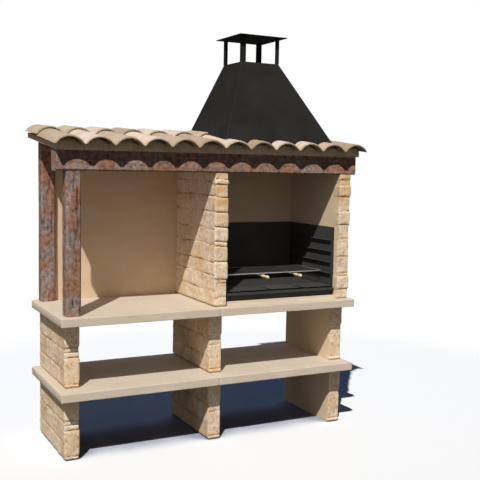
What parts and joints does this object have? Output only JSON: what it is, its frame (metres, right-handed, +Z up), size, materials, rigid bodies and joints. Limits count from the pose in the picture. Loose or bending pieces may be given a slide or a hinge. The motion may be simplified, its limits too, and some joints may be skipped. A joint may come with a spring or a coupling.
{
  "type": "roofed masonry barbecue",
  "caption": "Free-standing masonry barbecue with storage bays, open niche, firebox with sliding grill and ash drawer, tiled lean-to roof and steel smoke hood.",
  "frame": {"origin": "on the floor, under the middle of the whole outline", "axes": "+X to the right seen from the front, +Y to the back, +Z up"},
  "size_m": [1.8788, 0.687, 2.355],
  "materials": {
    "cast_stone": "smooth cast",
    "field_stone": "rough coursed stone",
    "smooth_mortar": "fine trowelled mortar",
    "roof_concrete": "cast concrete",
    "aged_timber": "weathered, grey patina",
    "clay_tile": "unglazed",
    "hood_steel": "matt black paint",
    "lining_steel": "heat-proof black",
    "grill_chrome": "bright plated",
    "handle_wood": "turned, bare"
  },
  "bodies": {
    "structure": {"base_leg_left": "field_stone", "base_leg_middle": "field_stone", "base_leg_right": "field_stone", "cap_plate": "hood_steel", "cap_posts": "hood_steel", "channel_tiles": "clay_tile", "charcoal_plate": "lining_steel", "cover_tile_back_01": "clay_tile", "cover_tile_back_02": "clay_tile", "cover_tile_back_03": "clay_tile", "cover_tile_back_04": "clay_tile", "cover_tile_back_05": "clay_tile", "cover_tile_back_06": "clay_tile", "cover_tile_back_07": "clay_tile", "cover_tile_back_12": "clay_tile", "cover_tile_front_01": "clay_tile", "cover_tile_front_02": "clay_tile", "cover_tile_front_03": "clay_tile", "cover_tile_front_04": "clay_tile", "cover_tile_front_05": "clay_tile", "cover_tile_front_06": "clay_tile", "cover_tile_front_07": "clay_tile", "cover_tile_front_08": "clay_tile", "cover_tile_front_09": "clay_tile", "cover_tile_front_10": "clay_tile", "cover_tile_front_11": "clay_tile", "cover_tile_front_12": "clay_tile", "firebox_back_wall": "smooth_mortar", "front_beam": "aged_timber", "front_post": "aged_timber", "grill_ledges_left": "lining_steel", "grill_ledges_right": "lining_steel", "hearth_slab": "cast_stone", "hood_back_panel": "hood_steel", "hood_front_panel": "hood_steel", "hood_left_panel": "hood_steel", "hood_right_panel": "hood_steel", "lining_back_plate": "lining_steel", "lining_left_plate": "lining_steel", "lining_right_plate": "lining_steel", "middle_wall": "field_stone", "niche_back_panel": "smooth_mortar", "rear_post": "aged_timber", "right_wall": "field_stone", "roof_slab_left": "roof_concrete", "roof_slab_right": "roof_concrete", "shelf_slab_left": "cast_stone", "shelf_slab_right": "cast_stone", "tile_mortar_fill": "roof_concrete", "upper_leg_left": "field_stone", "upper_leg_middle": "field_stone", "upper_leg_right": "field_stone", "worktop_slab_left": "cast_stone", "worktop_slab_right": "cast_stone"},
    "grill": {"grill_frame": "grill_chrome", "grill_rods": "grill_chrome", "handle_shanks": "grill_chrome", "grill_handle_left": "handle_wood", "grill_handle_right": "handle_wood"},
    "ash_drawer": {"ash_drawer": "lining_steel"}
  },
  "joints": [
    {"name": "grill_slide", "type": "slide", "parent": "structure", "child": "grill", "axis": [0, -1, 0], "range_m": [-0.09, 0.22]},
    {"name": "drawer_slide", "type": "slide", "parent": "structure", "child": "ash_drawer", "axis": [0, -1, 0], "range_m": [0, 0.4]}
  ]
}
